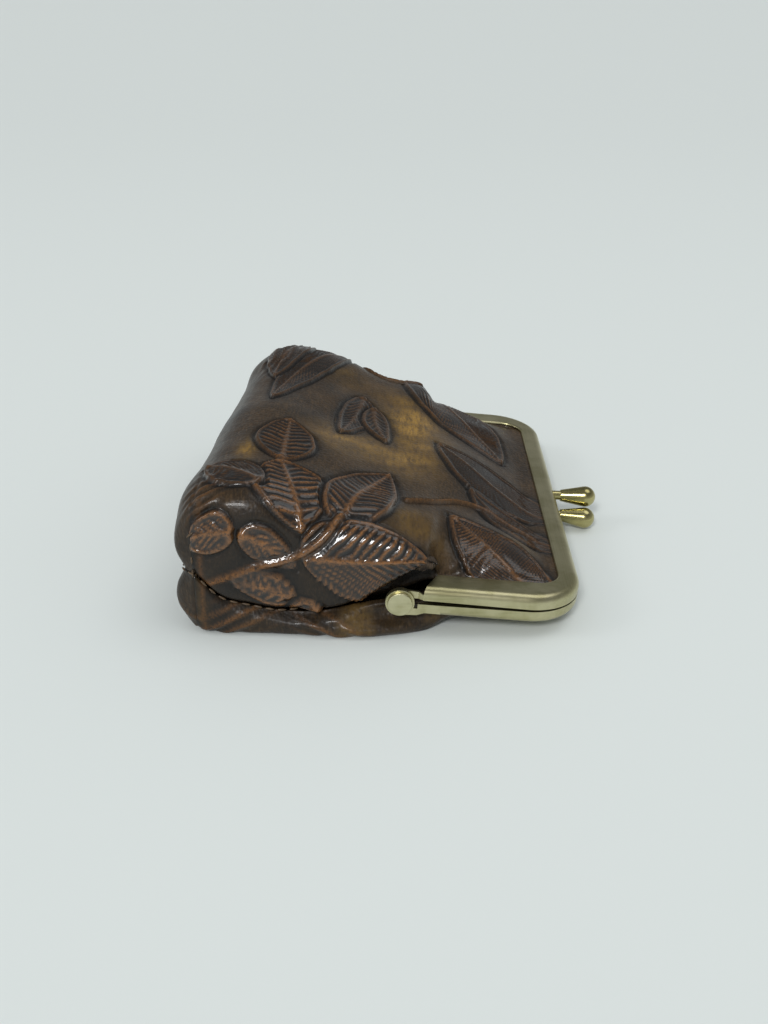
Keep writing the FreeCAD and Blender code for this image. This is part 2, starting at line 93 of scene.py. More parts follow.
# ---- settings -----------------------------------------------------------------------------
def colour(name, description, value):
    return bpy.props.FloatVectorProperty(name=name, description=description, size=4, min=0.0,
                                         max=1.0, subtype="COLOR", default=(*value, 1.0))


def length(name, description, value):
    return bpy.props.FloatProperty(name=name, description=description, default=value, min=0.0,
                                   unit="LENGTH", precision=5)


class PurseLeather(bpy.types.PropertyGroup):
    """Leather, relief and dye."""
    thickness: length("Thickness", "Thickness of a leather panel", 0.0012)
    spacing: length("Grid spacing", "Distance between the points of the relief", 0.00038)
    relief: bpy.props.FloatProperty(name="Relief", description="Share of the full relief height",
                                    default=1.0, min=0.0, max=2.0)
    ground: colour("Ground", "Brown of the plain leather", (0.046, 0.027, 0.0115))
    gold: colour("Rubbed gold", "Where the dye is rubbed thin", (0.320, 0.180, 0.030))
    ridge: colour("Ridges", "Rims and veins of the leaves", (0.250, 0.105, 0.028))
    # This colour also paints the shade laid on the near side of the front panel.
    groove: colour("Grooves", "Antique dye left in the grooves", (0.004, 0.0052, 0.006))
    leaf: colour("Leaves", "Dark brown of the leaves", (0.018, 0.0145, 0.011))


class PurseLining(bpy.types.PropertyGroup):
    """Lining."""
    thickness: length("Thickness", "Thickness of the lining cloth", 0.0004)
    gap: length("Gap", "Distance between leather and lining", 0.0002)
    cloth: colour("Cloth", "Colour of the lining", (0.055, 0.036, 0.021))


class PurseBrass(bpy.types.PropertyGroup):
    """Brass finishes."""
    frame: colour("Frame", "Antique brass of the frame", (0.520, 0.485, 0.300))
    rivet: colour("Rivets", "Paler brass of the rivets", (0.560, 0.530, 0.340))
    knob: colour("Knobs", "Brass of the clasp knobs", (0.480, 0.430, 0.210))


class PurseStitches(bpy.types.PropertyGroup):
    """Sewing."""
    pitch: length("Pitch", "Distance from stitch to stitch", 0.0026)
    stitch: length("Stitch", "Length of one stitch", 0.0019)
    thread: length("Thread", "Thickness of the thread", 0.0005)
    colour: colour("Thread colour", "Colour of the thread", (0.110, 0.068, 0.034))


class PurseStage(bpy.types.PropertyGroup):
    """Floor, light and camera."""
    floor: colour("Floor", "Colour of the floor", (0.700, 0.740, 0.722))
    distance: length("Distance", "Camera in front of the purse", 0.2754)
    height: length("Height", "Camera above the floor", 0.1412)
    tilt: bpy.props.FloatProperty(name="Tilt", description="How far the camera looks down",
                                  subtype="ANGLE", default=math.radians(26.4))
    lens: bpy.props.FloatProperty(name="Lens", description="Focal length in millimetres",
                                  default=42.9, min=10.0, max=200.0)


# ---- smooth nets ----------------------------------------------------------------------------
def ease(value):
    clipped = np.clip(value, 0.0, 1.0)
    return clipped * clipped * (3.0 - 2.0 * clipped)


def chords(points):
    """Mean distance between neighbouring rows."""
    return np.linalg.norm(np.diff(points, axis=0), axis=2).mean(axis=1)


def step_counts(points, spacing, multiple):
    return [multiple * max(1, round(d / (multiple * spacing))) for d in chords(points)]


def smooth(points, steps, keep=None):
    """Rows through rows of points, each span cut into its number of steps."""
    spans = chords(points) if keep is None else keep
    slopes = np.diff(points, axis=0) / spans[:, None, None]
    tangents = np.empty_like(points)
    tangents[0], tangents[-1] = slopes[0], slopes[-1]
    for i in range(1, len(points) - 1):
        a, b = spans[i - 1], spans[i]
        tangents[i] = (a * slopes[i] + b * slopes[i - 1]) / (a + b)
    rows = []
    for i, count in enumerate(steps):
        q = (np.arange(count) / count)[:, None, None]
        start = (1 + 2 * q) * (1 - q) ** 2 * points[i] + q * (1 - q) ** 2 * spans[i] * tangents[i]
        end = q * q * (3 - 2 * q) * points[i + 1] + q * q * (q - 1) * spans[i] * tangents[i + 1]
        rows.append(start + end)
    return np.concatenate(rows + [points[-1:]])


def across(points, steps, spans):
    return smooth(points.swapaxes(0, 1), steps, spans).swapaxes(0, 1)


def normals_of(points):
    """Unit normals of a grid, pointing away from the inside of the purse."""
    along, over = np.gradient(points, axis=0), np.gradient(points, axis=1)
    n = np.cross(along, over)
    return n / np.maximum(np.linalg.norm(n, axis=2, keepdims=True), 1e-12)


def unrolled(grid, centre):
    """Distance along each row of a grid from its centre column."""
    steps = np.linalg.norm(np.diff(grid, axis=1), axis=2)
    t = np.concatenate([np.zeros((len(grid), 1)), np.cumsum(steps, axis=1)], axis=1)
    return t - t[:, centre:centre + 1]


class Skin:
    """Two grids of one panel: the body from the boxed corners to the bar, and the base."""

    def __init__(self, base_net, body_net, spacing, multiple):
        side = SIDE_COLUMNS
        top = slice(side, body_net.shape[1] - side)
        whole = np.concatenate([base_net, body_net[:, top]])
        steps = step_counts(whole, spacing, multiple)
        base_rows = sum(steps[:len(base_net)])
        fine_top = smooth(whole, steps)
        body_steps, spans = steps[len(base_net):], chords(whole)[len(base_net):]
        left = smooth(body_net[:, :side], body_steps, spans)
        right = smooth(body_net[:, -side:], body_steps, spans)
        body = np.concatenate([left, fine_top[base_rows:], right], axis=1)
        turned = body.swapaxes(0, 1)
        self.columns = step_counts(turned, spacing, multiple)
        widths = chords(turned)
        self.body = across(body, self.columns, widths)
        self.first = sum(self.columns[:side])
        self.last = sum(self.columns[:-side])
        self.base = across(fine_top[:base_rows + 1], self.columns[side:-side], widths[side:-side])
        self.base[-1] = self.body[0, self.first:self.last + 1]
        self.multiple = multiple

    def pattern(self):
        """Where each point lies on the flat panel: s along the purse, t across it."""
        middle = self.body.shape[1] // 2
        centre = middle - self.first
        base_t = unrolled(self.base, centre)
        drop = np.linalg.norm(np.diff(self.base[:, centre], axis=0), axis=1)
        back = np.concatenate([[0.0], np.cumsum(drop)])
        base_s = self.body[0, middle, 0] - (back[-1] - back)
        base_s = np.repeat(base_s[:, None], base_t.shape[1], 1)
        return (self.body[:, :, 0], unrolled(self.body, middle)), (base_s, base_t)


# ---- the panels' shape ------------------------------------------------------------------------
def parting(x):
    """Height of the parting plane of the closed frame."""
    return HINGE_Z + PARTING_RISE - x * math.tan(NOSE_DOWN)


def mirrored(half):
    """A row of points from the middle to one edge becomes a whole row, edge to edge."""
    other = [(x, -y, z) for x, y, z in half[:0:-1]]
    return other + list(half)


def seam_height(x):
    """Height of the side seam, which drops from the base and rises to the hinge."""
    known_x = (CORNER_X, -41.0, -38.0, -33.0, -27.0, -20.0, -12.0, -4.0, 4.0)
    known_z = (14.6, 10.6, 8.8, 7.3, 6.0, 5.7, 6.0, 7.0, 8.6)
    return float(np.interp(x, known_x, known_z))


def front_section(x, top, half, rounding, shoulder, neck, edge):
    """Half a section of the front panel: over the top, round the edge and down the side."""
    upright = top - 0.5 - rounding
    side_y = (half + shoulder[0]) / 2 + 0.3
    return [(x, 0.0, top), (x, 0.5 * half, top - 0.1), (x, half - rounding, top - 0.5),
            (x, half - 0.28 * rounding, top - 0.5 - 0.27 * rounding), (x, half, upright),
            (x, side_y, (upright + shoulder[1]) / 2), (x, *shoulder), (x, *neck), (x, *edge)]


def lip_half(x):
    """Half the width inside the lip of the frame, with its rounded corner."""
    past = max(x - (LIP_X - LIP_CORNER), 0.0)
    return LIP_HALF - 0.4 - LIP_CORNER + math.sqrt(LIP_CORNER ** 2 - past * past)


def bar_rows(tuck, side):
    """The last two rows of a panel, at the lip of the bar and inside its channel."""
    rows = []
    corner = LIP_HALF - 0.4 - LIP_CORNER
    for x, share in ((LIP_X - 0.3, 0.0), (LIP_X + tuck, 1.0)):
        z = parting(x) + side * (TUCK_RISE + 0.25 * (1 - share))
        rows.append([(x, 0, z), (x, 0.5 * corner, z), (x, corner - 4.0, z), (x, corner - 1.0, z),
                     (x - 0.2 - 0.2 * share, corner + 1.2 + share, z),
                     (x - 0.9 - 0.3 * share, corner + 2.6 + share, z),
                     (x - 1.6 - 0.3 * share, corner + 3.6 + share, z),
                     (x - 1.9 - 0.6 * share + 0.4 * tuck, corner + 4.2 + 0.5 * tuck + share,
                      z - 0.05 * side),
                     (x - 2.0 - share + 0.6 * tuck, corner + 4.4 + 0.8 * tuck + share,
                      z - 0.07 * side)])
    return rows


def closed_side(x, half):
    """Shoulder, neck and edge of the front panel where it is sewn to the back panel."""
    seam = seam_height(x)
    return (half + 0.4, seam + 3.2), (half, seam + 1.0), (half - 0.8, seam + 0.3)


def front_net(tuck):
    """The nets of base and body of the front panel. tuck is how far its edge is gripped."""
    w = POUCH_HALF
    profile = [(BASE_X - 0.2, 15.0, 15.0), (BASE_X - 1.9, 20.3, 18.6), (BASE_X - 1.3, 26.8, 22.0)]
    base = []
    for x, z, side_z in profile:
        base.append(mirrored([(x, 0, z), (x, 0.5 * w, z - 0.1), (x, w - 7, z - 0.3),
                              (x + 0.6, w - 2.2, z * 0.4 + side_z * 0.6), (CORNER_X, w, side_z)]))
    rows = [front_section(CORNER_X, TOP_Z - 1.9, w, 6.4, (w + 0.2, 18.4), (w + 0.1, 16.4),
                          (w - 0.4, 15.2))]
    for x, top in ((-39.0, TOP_Z), (-32.0, TOP_Z - 0.1), (-25.5, TOP_Z - 1.7)):
        rows.append(front_section(x, top, w + 0.3, 7.0, *closed_side(x, w + 0.3)))
    open_side = ((-19.5, 29.7, 0.5, 7.0, (1.0, 7.3), (-1.5, 6.0), (-2.5, 6.0)),
                 (-14.0, 27.9, 0.5, 7.0, (0.9, 7.6), (-3.0, 6.6), (-3.6, 6.2)),
                 (-9.0, 26.2, 0.3, 6.6, (0.5, 9.0), (-4.2, 8.2), (-4.4, 6.4)),
                 (-4.0, 24.5, 0.1, 6.0, (0.1, 11.8), (-4.8, 10.8), (-4.9, 7.0)),
                 (1.0, 22.8, -0.4, 5.0, (-0.6, 14.5), (-5.2, 12.8), (-5.3, 8.4)),
                 (5.5, 21.3, -1.6, 4.2, (-2.2, 16.0), (-5.6, 13.2), (-5.6, 10.2)))
    for x, top, out, rounding, shoulder, neck, edge in open_side:
        rows.append(front_section(x, top, w + out, rounding, (w + shoulder[0], shoulder[1]),
                                  (w + neck[0], neck[1]), (w + edge[0], edge[1])))
    for x, top, rounding in ((9.6, 19.7, 11.0), (15.0, 17.4, 11.5), (21.5, 14.5, 11.5),
                             (27.5, 11.7, 10.0), (31.5, 9.7, 8.0)):
        y = lip_half(x)
        low = parting(x) + TUCK_RISE
        rise = max(top - low, 0.6)
        rows.append([(x, 0, top), (x, 0.5 * y, top - 0.05 * rise),
                     (x, y - rounding, top - 0.12 * rise), (x, y - 0.55 * rounding, top - 0.3 * rise),
                     (x, y - 0.24 * rounding, low + 0.42 * rise),
                     (x, y - 0.1 * rounding, low + 0.2 * rise), (x, y - 0.3, low + 0.4),
                     (x, y + 0.5 * tuck, low), (x, y + tuck, low - 0.02)])
    rows += bar_rows(tuck, 1)
    return np.array(base, float), np.array([mirrored(row) for row in rows], float)


def back_section(x, low, half, rounding, bulge, pull, edge):
    """Half a section of the back panel: along the underside, round the edge and up the side.

    pull is 1 where the side bends inwards below the ears of the frame.
    """
    middle = (low + edge[1]) / 2
    out = half + bulge
    return [(x, 0.0, low), (x, 0.5 * half, low), (x, half - rounding, low + 0.02),
            (x, out - 0.25 * rounding, low + 0.3 * rounding), (x, out, low + rounding),
            (x, out - pull * (bulge + 1.0), middle + 0.3),
            (x, out - 0.3 * bulge - pull * (0.7 * bulge + 1.6), edge[1] - 1.6),
            (x, (half + edge[0]) / 2 + 0.2 * (1 - pull), edge[1] - 0.5), (x, *edge)]


def back_net(tuck):
    """The nets of base and body of the back panel."""
    w = POUCH_HALF
    profile = [(BASE_X - 0.2, 14.5, 14.5), (BASE_X - 1.9, 9.8, 10.8), (BASE_X - 1.7, 4.2, 6.4)]
    base = []
    for x, z, side_z in profile:
        base.append(mirrored([(x, 0, z), (x, 0.5 * w, z), (x, w - 7, z + 0.1),
                              (x + 0.6, w - 2.2, z * 0.4 + side_z * 0.6), (CORNER_X, w, side_z)]))
    rows = [back_section(CORNER_X, 0.9, w, 2.6, 0.0, 0.0, (w - 0.4, 14.4))]
    for x, bulge in ((-39.0, 0.8), (-33.0, 1.3), (-25.0, 1.7), (-17.0, 2.3)):
        rows.append(back_section(x, 0.0, w, 2.4, bulge, 0.0, (w - 0.6, seam_height(x) - 0.3)))
    for x, bulge, pull, edge in ((-10.0, 2.7, 0.4, (-1.6, 6.6)), (-4.0, 2.3, 0.9, (-2.2, 7.4)),
                                 (1.5, 1.2, 1.0, (-3.2, 7.6)), (6.0, -0.4, 1.0, (-4.4, 7.4))):
        rows.append(back_section(x, 0.0, w, 2.3, bulge, pull, (w + edge[0], edge[1])))
    for x, low, half in ((10.5, 0.3, 48.6), (15.5, 1.0, 47.0), (21.5, 2.0, 45.6), (28.0, 3.0, 44.6),
                         (31.5, 3.7, 43.5)):
        y = lip_half(x)
        high = parting(x) - TUCK_RISE
        room = max(high - low, 0.3)
        rows.append([(x, 0, low), (x, 0.5 * half, low), (x, half - 6.0, low + 0.05 * room),
                     (x, half - 2.0, low + 0.2 * room), (x, half - 0.4, low + 0.5 * room),
                     (x, half - 0.5, low + 0.75 * room), (x, y - 0.4, high - 0.25),
                     (x, y + 0.5 * tuck, high), (x, y + tuck, high + 0.02)])
    rows += bar_rows(tuck, -1)
    return np.array(base, float), np.array([mirrored(row) for row in rows], float)


def skew(points):
    """The filled pouch sits askew: its base is pulled in on the far side."""
    warped = points.copy()
    x, y = points[..., 0], points[..., 1]
    towards_base = ease((-4.0 - x) / 40.0)
    warped[..., 0] += (0.093 * (y + POUCH_HALF) + 0.3) * towards_base
    return warped


# ---- relief -------------------------------------------------------------------------------------
class Relief:
    """Height and dye of a panel, gathered leaf by leaf over its pattern coordinates."""

    def __init__(self, s, t, seed):
        self.s, self.t = s, t
        self.table = np.random.default_rng(seed).random((64, 64))
        self.height = np.zeros_like(s)
        self.ridge = np.zeros_like(s)
        self.dark = np.zeros_like(s)
        self.leaf = np.zeros_like(s)

    def noise(self, size, turn=0.0, stretch=1.0):
        """Smooth noise from 0 to 1 with blobs of a size, drawn out along a direction."""
        c, r = math.cos(turn), math.sin(turn)
        u = (self.s * c + self.t * r) / (size * stretch)
        v = (self.t * c - self.s * r) / size
        iu, iv = np.floor(u).astype(int), np.floor(v).astype(int)
        fu, fv = ease(u - iu), ease(v - iv)
        rows = [[self.table[(iu + i) % 64, (iv + j) % 64] for j in (0, 1)] for i in (0, 1)]
        low = rows[0][0] * (1 - fv) + rows[0][1] * fv
        high = rows[1][0] * (1 - fv) + rows[1][1] * fv
        return low * (1 - fu) + high * fu

    def add_leaf(self, root, tip, half_width, bend, slant, pitch, strength, belly=0.8):
        """A leaf from root to tip: raised rim, midrib and side veins, with a groove around it."""
        root, tip = np.array(root, float), np.array(tip, float)
        size = np.linalg.norm(tip - root)
        axis = (tip - root) / size
        ps, pt = self.s - root[0], self.t - root[1]
        along = (ps * axis[0] + pt * axis[1]) / size
        off = pt * axis[0] - ps * axis[1] - bend * 4 * along * (1 - along)
        inside = np.clip(along, 0.0, 1.0)
        half = half_width * np.sin(np.pi * inside ** belly) ** 0.75 + 1e-6
        wobble = self.noise(3.2) - 0.5
        beyond = np.maximum(np.maximum(along - 1, -along), 0) * size
        out = np.hypot(np.maximum(np.abs(off) - half, 0), beyond)
        depth = np.minimum(half - np.abs(off), np.minimum(along, 1 - along) * size * 0.55)
        edge = np.where(out > 0, -out, depth) + 0.5 * wobble
        body = ease((edge + 0.5) / 0.9)
        rim = np.exp(-((edge - 0.5) / 0.4) ** 2)
        groove = np.exp(-((edge + 0.75) / 0.6) ** 2)
        halo = np.exp(-(np.minimum(edge, 0) / 2.6) ** 2) * (edge < 0)
        rib = np.exp(-(off / (0.25 + 0.45 * (1 - inside))) ** 2) * body * (along > 0.02)
        phase = (along * size - slant * np.abs(off) + 1.3 * wobble + 0.25 * np.sign(off)) / pitch
        vein = (0.5 + 0.5 * np.cos(2 * np.pi * phase)) ** 1.3
        veins = vein * ease((edge - 0.9) / 0.8) * (1 - rib) * (0.55 + 0.6 * self.noise(5.0))
        cover = ease((edge + 1.8) / 1.2)
        high = body * 0.2 + rim * 0.55 + rib * 0.5 + veins * 0.42 - groove * 0.6
        keep = 1 - cover
        self.height = self.height * keep + high * cover * (0.55 + 0.45 * strength)
        crest = veins ** 2.5 * 1.3
        lit = np.clip(rim * (0.45 + 0.9 * self.noise(4.0)) + rib + crest, 0, 1) * strength
        self.ridge = self.ridge * keep + lit * cover
        shade = np.clip(groove + 0.8 * halo + body * (1 - np.clip(rim + rib + crest, 0, 1)) * 0.9, 0, 1)
        self.dark = np.maximum(self.dark * keep + shade * cover, 0.75 * halo)
        self.leaf = self.leaf * keep + body * cover

    def add_stem(self, points, radius, strength):
        """A raised stem along a line, with a groove at each side."""
        line = smooth(np.array(points, float)[:, None, :], [8] * (len(points) - 1))[:, 0]
        near = np.full(self.s.shape, 1e9)
        for (ax, ay), (bx, by) in zip(line[:-1], line[1:]):
            dx, dy = bx - ax, by - ay
            q = np.clip(((self.s - ax) * dx + (self.t - ay) * dy) / (dx * dx + dy * dy), 0, 1)
            near = np.minimum(near, np.hypot(self.s - ax - q * dx, self.t - ay - q * dy))
        stem = np.exp(-(near / radius) ** 2)
        groove = np.exp(-((near - 2.0 * radius) / (0.8 * radius)) ** 2)
        cover = ease((3.4 * radius - near) / (1.2 * radius))
        self.height = self.height * (1 - 0.8 * cover) + (0.75 * stem - 0.4 * groove) * cover
        self.ridge = np.maximum(self.ridge * (1 - 0.7 * cover), 0.9 * stem * strength)
        self.dark = np.maximum(self.dark * (1 - stem), 0.85 * groove * (0.4 + 0.6 * strength))

    def add_folds(self, centre, size, turn, pitch, height, strength=0.4):
        """A patch of parallel wrinkles."""
        c, r = math.cos(turn), math.sin(turn)
        ds, dt = self.s - centre[0], self.t - centre[1]
        u, v = ds * c + dt * r, dt * c - ds * r
        mask = np.exp(-(u / size[0]) ** 2 - (v / size[1]) ** 2)
        wave = np.cos(2 * np.pi * (v + 2.2 * (self.noise(7.0) - 0.5)) / pitch)
        self.height += height * wave * mask
        self.ridge = np.maximum(self.ridge, strength * mask * ease(wave))
        self.dark = np.maximum(self.dark, strength * 1.5 * mask * ease(-wave))


# root, tip, half width, bend, slant and pitch of the veins, strength of the dye, belly
FRONT_LEAVES = (
    ((-27.5, -29.0), (-28.5, -6.5), 7.6, 0.0, 0.5, 1.9, 0.55, 1.0),
    ((-20.0, -53.0), (-27.5, -29.5), 8.6, 0.0, 0.3, 2.1, 0.85, 1.1),
    ((-13.0, -49.0), (-2.0, -20.0), 7.2, 0.6, 0.7, 1.9, 0.75, 0.8),
    ((-9.0, 24.0), (-14.5, -2.5), 4.6, 1.0, 1.8, 2.2, 0.3, 0.8),
    ((-6.0, 19.0), (-2.5, 0.5), 3.4, -1.0, 1.8, 2.2, 0.3, 0.8),
    ((-15.0, 50.0), (-36.0, 6.0), 6.5, -4.5, 3.2, 2.4, 0.3, 0.8),
    ((-31.0, 60.0), (-38.5, 22.0), 6.5, -2.0, 3.2, 2.3, 0.3, 0.8),
    ((4.0, 50.0), (27.0, 13.0), 9.5, 1.5, 2.4, 1.7, 0.35, 0.8),
    ((38.0, -14.0), (10.0, 8.0), 8.5, 3.0, 3.4, 2.3, 0.28, 0.8),
    ((38.0, -29.0), (17.0, -12.5), 5.0, 3.0, 3.4, 2.2, 0.32, 0.8),
    ((33.0, -50.0), (11.5, -30.0), 8.2, 1.5, 3.0, 2.0, 0.6, 0.8),
    ((-21.0, -58.0), (6.5, -50.5), 9.0, -0.8, 1.3, 2.4, 1.0, 0.8),
    ((-34.5, -55.5), (-46.0, -55.0), 4.6, 0.0, 1.2, 2.1, 0.9, 0.8),
    ((-34.0, -55.5), (-22.0, -60.5), 4.2, 0.6, 1.4, 2.2, 1.0, 0.8),
    ((-22.0, -68.0), (-36.0, -66.5), 4.2, 0.0, 0.9, 2.1, 1.0, 0.8),
    ((-17.0, -68.5), (-24.5, -76.0), 3.4, 0.0, 0.9, 2.0, 0.9, 0.8),
    ((-30.0, -43.0), (-44.0, -34.0), 5.2, 0.0, 2.6, 2.3, 0.35, 0.8),
    ((-14.0, 58.0), (6.0, 54.0), 7.0, 0.0, 1.4, 2.3, 0.6, 0.8),
    ((-22.0, 62.0), (-42.0, 66.0), 6.6, 0.0, 1.0, 2.2, 0.6, 0.8),
)
# radius, strength of the dye, points
FRONT_STEMS = (
    (0.6, 1.0, ((-44.0, -67.5), (-37.0, -66.0), (-29.0, -62.0), (-21.0, -57.5), (-15.0, -51.0),
                (-12.5, -46.0))),
    (0.42, 0.5, ((1.5, -31.0), (7.0, -27.0), (13.0, -21.5), (19.0, -20.0), (27.0, -24.5), (36.0, -27.0))),
    (0.42, 0.5, ((-21.0, 66.0), (-15.0, 60.0), (-11.0, 50.0), (-3.0, 44.0), (6.0, 46.0))),
)
# centre, reach along s and t, amount
GOLD_PATCHES = ((3.5, 16.0, 7.0, 15.0, 1.0), (-13.0, -7.0, 9.0, 7.0, 0.62), (-36.0, -25.0, 2.2, 6.0, 0.8),
                (2.0, -8.0, 7.0, 9.0, 0.55), (12.0, 2.0, 5.0, 6.0, 0.35), (-17.0, 34.0, 8.0, 7.0, 0.3),
                (2.0, -40.0, 7.0, 6.0, 0.35), (27.0, -30.0, 3.0, 5.0, 0.35))
# centre, reach along s and t, height
SLUMPS = ((4.0, -44.0, 5.0, 5.0, -1.3), (23.0, -37.0, 8.0, 8.0, 1.5), (-4.0, -40.0, 8.0, 8.0, 1.0),
          (12.0, 38.0, 10.0, 9.0, 1.4), (-12.0, 8.0, 12.0, 16.0, -1.2), (16.0, 0.0, 9.0, 14.0, 0.8),
          (-30.0, -46.0, 7.0, 7.0, 1.0), (-22.0, 40.0, 9.0, 10.0, 0.8), (-33.0, 20.0, 8.0, 16.0, -0.9),
          (6.0, -58.0, 6.0, 5.0, -0.6), (12.0, 47.0, 9.0, 7.0, 1.5), (-13.0, 46.0, 6.0, 6.0, 0.8))


def patches(s, t, table):
    total = np.zeros_like(s)
    for cs, ct, rs, rt, amount in table:
        total += amount * np.exp(-((s - cs) / rs) ** 2 - ((t - ct) / rt) ** 2)
    return total


def front_relief(s, t):
    relief = Relief(s, t, FRONT_SEED)
    for leaf in FRONT_LEAVES:
        relief.add_leaf(*leaf)
    for radius, strength, stem in FRONT_STEMS:
        relief.add_stem(stem, radius, strength)
    relief.add_folds((-37.0, 44.0), (14.0, 5.0), 1.35, 2.6, 0.3, 0.25)
    relief.add_folds((14.0, -46.0), (8.0, 3.0), 0.9, 3.0, 0.3, 0.1)
    relief.add_folds((-42.0, -46.0), (4.0, 6.0), 0.2, 2.8, 0.35, 0.35)
    relief.add_folds((-12.0, -72.0), (9.0, 3.0), 0.35, 3.4, 0.3, 0.2)
    relief.height += 0.16 * (relief.noise(6.0) - 0.5) + 0.7 * (relief.noise(16.0) - 0.5)
    # Painted shade: near_side darkens the side of the front panel nearest the camera, as shade on that
    # side. at_base darkens the panel towards its base, and blotches are random darker tone.
    near_side = ease((-t - 46.0) / 8.0) * (0.6 + 0.4 * relief.noise(6.0))
    at_base = 0.5 * ease((-38.5 - s) / 6.0)
    blotches = 0.35 * ease((relief.noise(11.0) - 0.6) / 0.25)
    painted_shade_and_blotches = np.maximum(near_side, at_base + blotches)
    relief.dark = np.maximum(relief.dark, painted_shade_and_blotches * (1 - 0.6 * relief.leaf))
    gold = np.clip(patches(s, t, GOLD_PATCHES) * (0.55 + 0.9 * relief.noise(2.6, 0.4, 3.0)), 0, 1)
    return relief, patches(s, t, SLUMPS), gold


def back_relief(s, t):
    relief = Relief(s, t, BACK_SEED)
    chance = np.random.default_rng(SCATTER_SEED)
    for cs in (-38.0, -20.0, -2.0, 15.0):
        for ct in (-38.0, -14.0, 10.0, 34.0):
            turn = chance.uniform(0, 2 * math.pi)
            reach = chance.uniform(8.0, 11.0)
            middle = np.array([cs, ct]) + chance.uniform(-3, 3, 2)
            arrow = reach * np.array([math.cos(turn), math.sin(turn)])
            relief.add_leaf(middle - arrow, middle + arrow, chance.uniform(5.0, 7.0),
                            chance.uniform(-1.5, 1.5), chance.uniform(0.5, 2.2), 1.9, 0.45)
    relief.add_folds((-36.0, -54.5), (13.0, 4.0), -0.55, 2.7, 0.35, 0.55)
    relief.add_folds((-14.0, -53.0), (9.0, 4.0), 0.5, 3.6, 0.3, 0.4)
    relief.add_folds((-36.0, 54.0), (12.0, 4.0), 0.55, 2.9, 0.3, 0.4)
    relief.add_folds((-8.0, 52.0), (10.0, 4.0), -0.5, 3.4, 0.3, 0.35)
    relief.height += 0.5 * (relief.noise(11.0) - 0.5)
    relief.dark = np.maximum(relief.dark, 0.75 * relief.noise(8.0) + 0.3 * ease((-30.0 - s) / 10.0))
    gold = 0.5 * ease((relief.noise(9.0) - 0.55) / 0.3) * ease((np.abs(t) - 44.0) / 5.0)
    return relief, np.zeros_like(s), gold


# ---- meshes -------------------------------------------------------------------------------------
def quads(index):
    a, b = index[:-1, :-1].ravel(), index[1:, :-1].ravel()
    c, d = index[1:, 1:].ravel(), index[:-1, 1:].ravel()
    return np.stack([a, b, c, d], axis=1).tolist()


def strip(outer, inner, multiple):
    """Faces between a fine edge and the coarse edge below it."""
    faces = []
    half = multiple // 2
    for k in range(len(inner) - 1):
        for step in range(multiple):
            corner = inner[k] if step < half else inner[k + 1]
            faces.append([outer[k * multiple + step], outer[k * multiple + step + 1], corner])
        faces.append([outer[k * multiple + half], inner[k + 1], inner[k]])
    return faces


def shell_mesh(name, skin, outer_body, outer_base, inner_body, inner_base):
    """One closed mesh of a panel: fine outside, coarse inside, and the cut edges between them."""
    m = skin.multiple
    first, last = skin.first, skin.last
    body = np.arange(outer_body.shape[0] * outer_body.shape[1]).reshape(outer_body.shape[:2])
    count = body.size
    base = count + np.arange((len(outer_base) - 1) * outer_base.shape[1])
    base = np.concatenate([base.reshape(-1, outer_base.shape[1]), body[:1, first:last + 1]])
    count += (len(outer_base) - 1) * outer_base.shape[1]
    deep = count + np.arange(inner_body.shape[0] * inner_body.shape[1])
    deep = deep.reshape(inner_body.shape[:2])
    count += deep.size
    under = count + np.arange((len(inner_base) - 1) * inner_base.shape[1])
    under = under.reshape(-1, inner_base.shape[1])
    under = np.concatenate([under, deep[:1, first // m:last // m + 1]])
    points = np.concatenate([outer_body.reshape(-1, 3), outer_base[:-1].reshape(-1, 3),
                             inner_body.reshape(-1, 3), inner_base[:-1].reshape(-1, 3)])
    faces = quads(body) + quads(base) + quads(deep[:, ::-1]) + quads(under[:, ::-1])
    edges = [(body[:, 0], deep[:, 0]), (body[:, -1], deep[:, -1]), (body[-1], deep[-1]),
             (body[0, :first + 1], deep[0, :first // m + 1]),
             (body[0, last:], deep[0, last // m:]),
             (base[0], under[0]), (base[:, 0], under[:, 0]), (base[:, -1], under[:, -1])]
    for outer, inner in edges:
        faces += strip(outer.tolist(), inner.tolist(), m)
    mesh = bpy.data.meshes.new(name)
    placed = (points + (HINGE_X, 0.0, 0.0)) * MM
    mesh.from_pydata(placed.tolist(), [], faces)
    work = bmesh.new()
    work.from_mesh(mesh)
    bmesh.ops.recalc_face_normals(work, faces=work.faces)
    work.to_mesh(mesh)
    work.free()
    mesh.shade_smooth()
    piece = bpy.data.objects.new(name, mesh)
    bpy.context.scene.collection.objects.link(piece)
    return piece


def write_attribute(piece, name, values):
    attribute = piece.data.attributes.new(name, "FLOAT", "POINT")
    filled = np.zeros(len(piece.data.vertices), np.float32)
    filled[:len(values)] = values
    attribute.data.foreach_set("value", filled)


